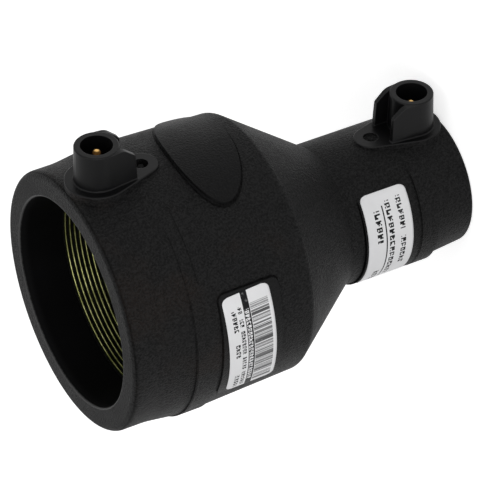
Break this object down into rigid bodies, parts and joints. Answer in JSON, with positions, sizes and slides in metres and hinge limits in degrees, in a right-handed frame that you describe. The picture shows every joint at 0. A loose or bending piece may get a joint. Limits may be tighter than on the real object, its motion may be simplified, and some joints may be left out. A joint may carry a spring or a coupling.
{
  "type": "electrofusion reducer",
  "caption": "Stepped black plastic pipe coupling with a wide and a narrow socket, wire wound inside each bore and a shrouded welding terminal at each end",
  "frame": {"origin": "on the axis of the two sockets, in the plane of the small socket's mouth", "axes": "+Z runs along the bore from the small socket to the large one, +X points to the two terminals, and the labels are on the -Y side"},
  "size_m": [0.093, 0.0812, 0.1235],
  "materials": {
    "body": "black moulded polyethylene, fine spark-eroded grain with smooth shrouds, flanges and raised pads",
    "wire": "dull copper alloy resistance wire",
    "pin": "turned brass, bright",
    "indicator": "plain moulded plastic",
    "label": null
  },
  "bodies": {
    "root": {"body": "body", "heating_wire": "wire", "large_terminal_pin": "pin", "small_terminal_pin": "pin", "large_fusion_indicator": "indicator", "small_fusion_indicator": "indicator", "large_label": "label", "small_label": "label"}
  },
  "joints": []
}
